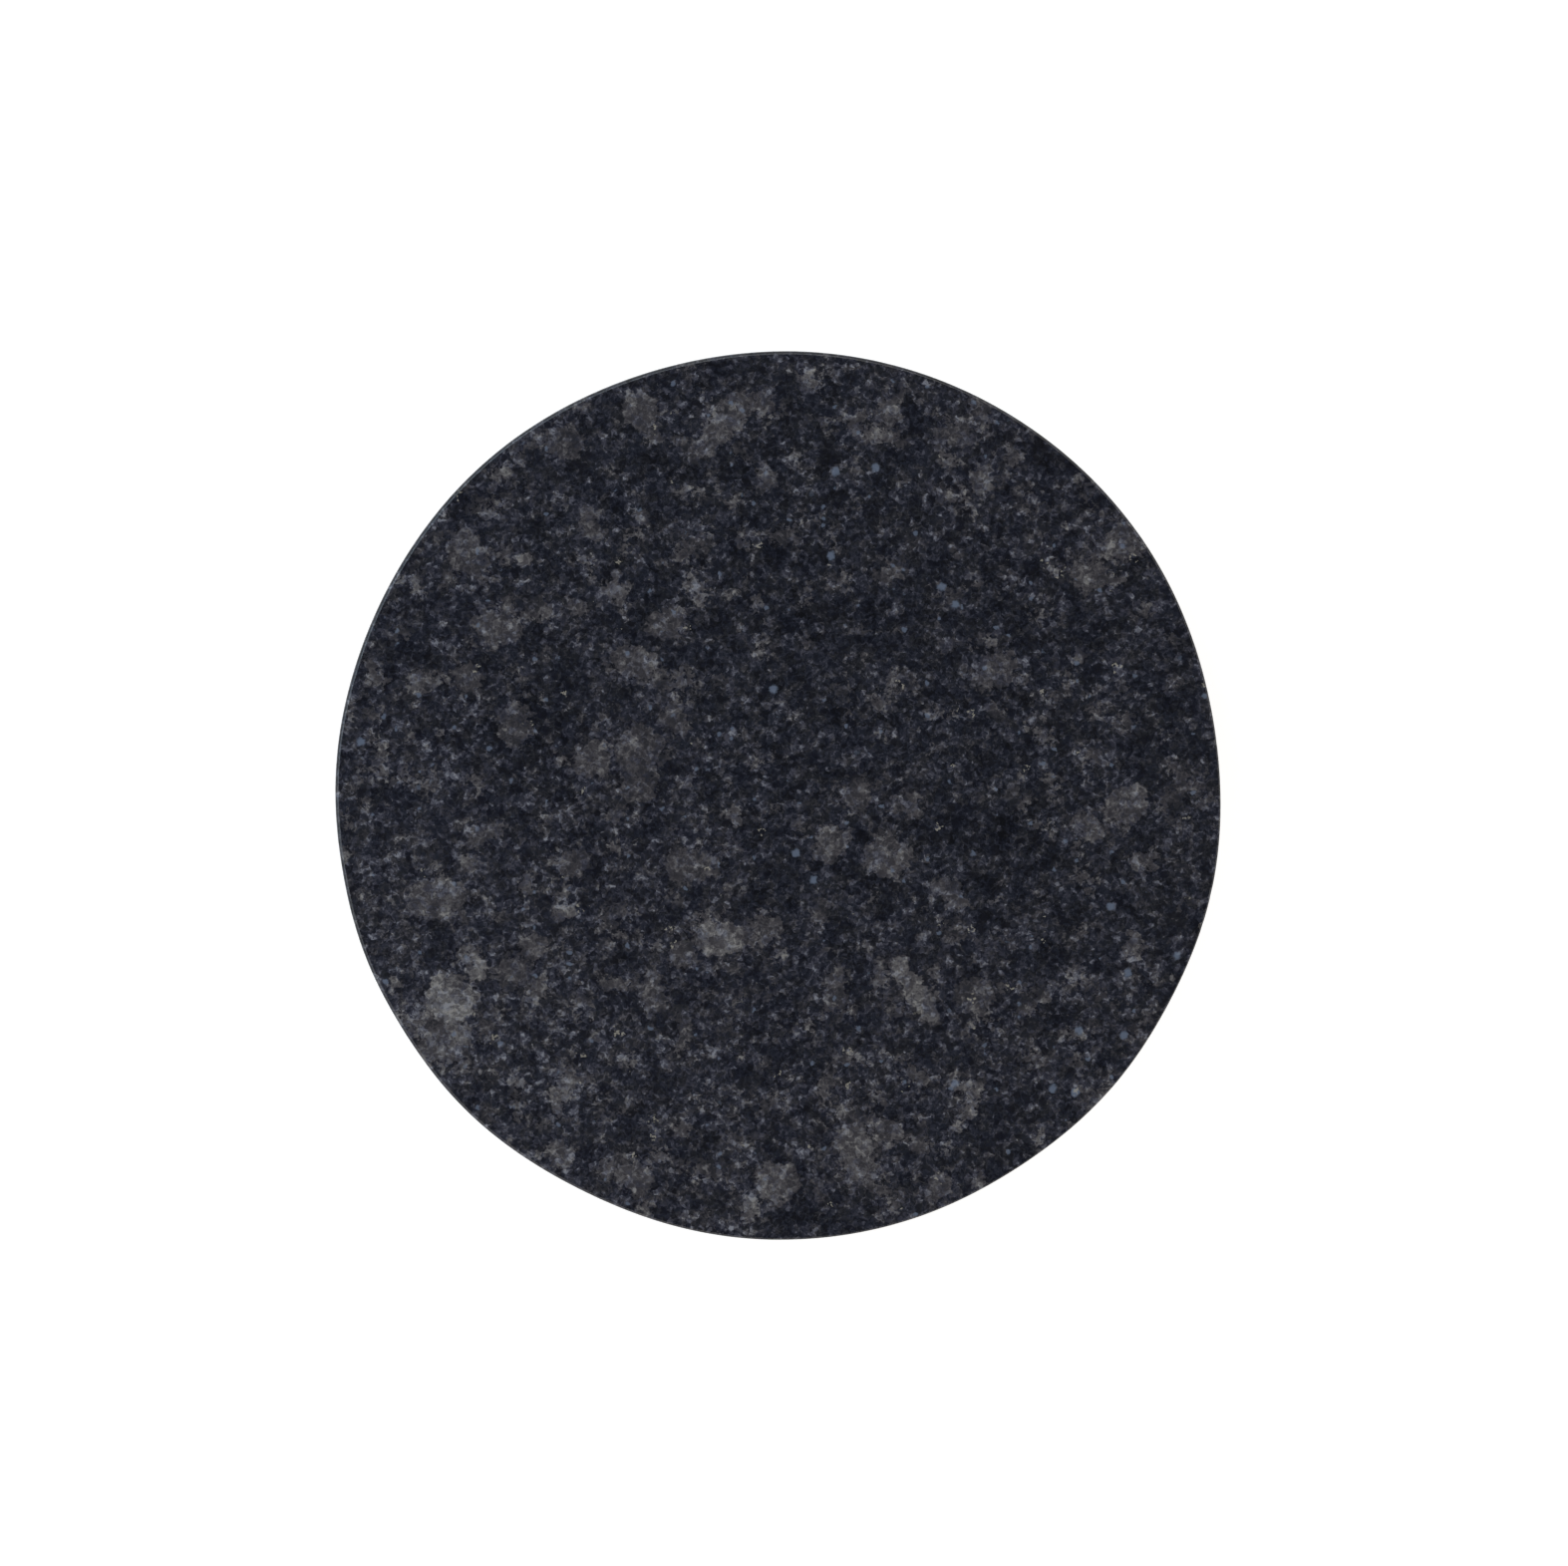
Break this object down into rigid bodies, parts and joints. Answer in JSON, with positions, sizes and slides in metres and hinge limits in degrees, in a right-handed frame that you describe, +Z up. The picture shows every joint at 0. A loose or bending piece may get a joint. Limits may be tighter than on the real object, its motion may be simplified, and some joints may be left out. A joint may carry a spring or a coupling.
{
  "type": "granite slab",
  "caption": "Round slab of dark speckled granite with a flat polished top and eased edges, a hard base for stamping, punching and skiving leather.",
  "frame": {"origin": "middle of the slab's bounding box, on the underside that rests on the bench", "axes": "+Z up through the slab's thickness, towards the polished working face; +X and +Y lie in the plane of the slab"},
  "size_m": [0.1998, 0.2004, 0.03],
  "materials": {
    "granite": "polished top, honed edge, sawn underside"
  },
  "bodies": {
    "root": {"granite_slab": "granite"}
  },
  "joints": []
}
